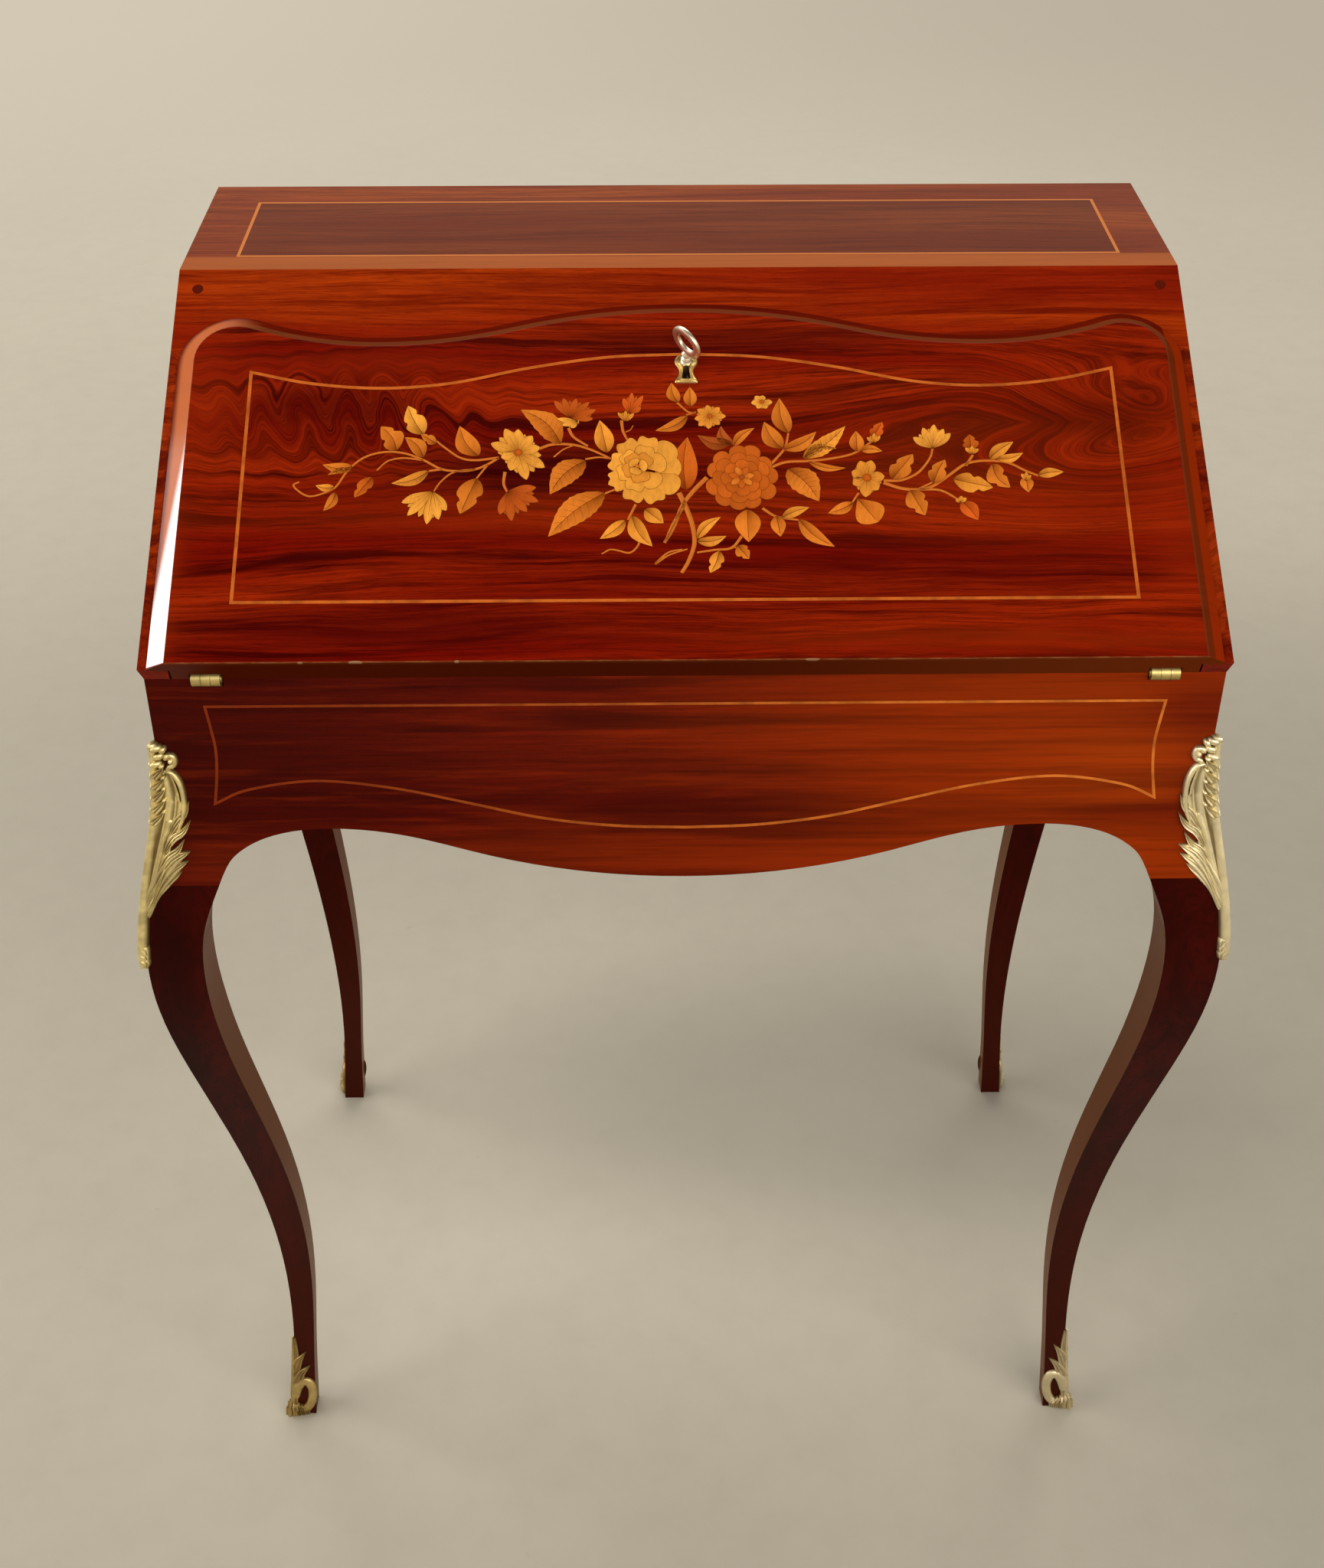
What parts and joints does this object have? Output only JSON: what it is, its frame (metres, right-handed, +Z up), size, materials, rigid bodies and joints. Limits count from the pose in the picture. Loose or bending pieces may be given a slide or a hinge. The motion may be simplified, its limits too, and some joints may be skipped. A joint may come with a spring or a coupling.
{
  "type": "slant-front desk",
  "caption": "Slant-front lady's desk on cabriole legs, with floral marquetry on its fall lid, gilt mounts, a key in its lock and small drawers inside.",
  "frame": {"origin": "on the floor, under the middle of the desk's outline", "axes": "+Z up, -Y towards the sitter, +X to the sitter's right"},
  "size_m": [0.7742, 0.5043, 0.95],
  "materials": {
    "veneer": "French polished veneer",
    "solid_wood": "polished dark solid wood",
    "inner_wood": "satin",
    "leather": "satin with a gilt line",
    "gilt_bronze": "cast and gilt",
    "hinge_brass": "polished",
    "screws": "filed",
    "key_metal": "polished nickel"
  },
  "bodies": {
    "desk": {"left_side": "veneer", "right_side": "veneer", "top_board": "veneer", "slope_rail": "veneer", "back_panel": "veneer", "writing_board": "veneer", "front_apron": "veneer", "back_apron": "veneer", "left_apron": "veneer", "right_apron": "veneer", "rail_screw_plugs": "veneer", "front_left_leg": "solid_wood", "front_right_leg": "solid_wood", "back_left_leg": "solid_wood", "back_right_leg": "solid_wood", "board_battens": "inner_wood", "pigeonhole_shelf": "inner_wood", "left_drawer_divider": "inner_wood", "right_drawer_divider": "inner_wood", "left_pigeonhole_divider": "inner_wood", "right_pigeonhole_divider": "inner_wood", "board_leather": "leather", "front_left_sabot": "gilt_bronze", "front_right_sabot": "gilt_bronze", "back_left_sabot": "gilt_bronze", "back_right_sabot": "gilt_bronze", "left_corner_mount": "gilt_bronze", "right_corner_mount": "gilt_bronze", "left_hinge_base_leaf": "hinge_brass", "right_hinge_base_leaf": "hinge_brass", "left_hinge_pin": "hinge_brass", "right_hinge_pin": "hinge_brass", "strike_plate": "hinge_brass", "base_hinge_screws": "screws"},
    "lid": {"lid_panel": "veneer", "lid_leather": "leather", "left_hinge_lid_leaf": "hinge_brass", "right_hinge_lid_leaf": "hinge_brass", "lid_hinge_screws": "screws", "lock_case": "screws", "lock_screws": "screws", "escutcheon": "hinge_brass"},
    "bolt": {"lock_bolt": "screws"},
    "key": {"key": "key_metal"},
    "left_drawer": {"left_drawer_front": "inner_wood", "left_drawer_box": "inner_wood", "left_drawer_knob": "hinge_brass"},
    "middle_drawer": {"middle_drawer_front": "inner_wood", "middle_drawer_box": "inner_wood", "middle_drawer_knob": "hinge_brass"},
    "right_drawer": {"right_drawer_front": "inner_wood", "right_drawer_box": "inner_wood", "right_drawer_knob": "hinge_brass"}
  },
  "joints": [
    {"name": "lid_hinge", "type": "hinge", "parent": "desk", "child": "lid", "pos_m": [0, -0.222, 0.779], "axis": [1, 0, 0], "range_deg": [0, 150.1]},
    {"name": "key_turn", "type": "hinge", "parent": "lid", "child": "key", "pos_m": [0.003, -0.02658, 0.91236], "axis": [0, -0.4981, 0.8671], "range_deg": [-61, 118]},
    {"name": "bolt_throw", "type": "slide", "parent": "lid", "child": "bolt", "axis": [0, 0.8671, 0.4981], "range_m": [-0.0035, 0.0067]},
    {"name": "left_drawer_slide", "type": "slide", "parent": "desk", "child": "left_drawer", "axis": [0, -1, 0], "range_m": [0, 0.13]},
    {"name": "middle_drawer_slide", "type": "slide", "parent": "desk", "child": "middle_drawer", "axis": [0, -1, 0], "range_m": [0, 0.13]},
    {"name": "right_drawer_slide", "type": "slide", "parent": "desk", "child": "right_drawer", "axis": [0, -1, 0], "range_m": [0, 0.13]}
  ],
  "couplings": [
    {"joint": "bolt_throw", "follows": "key_turn", "m_per_rad": 0.00318}
  ]
}
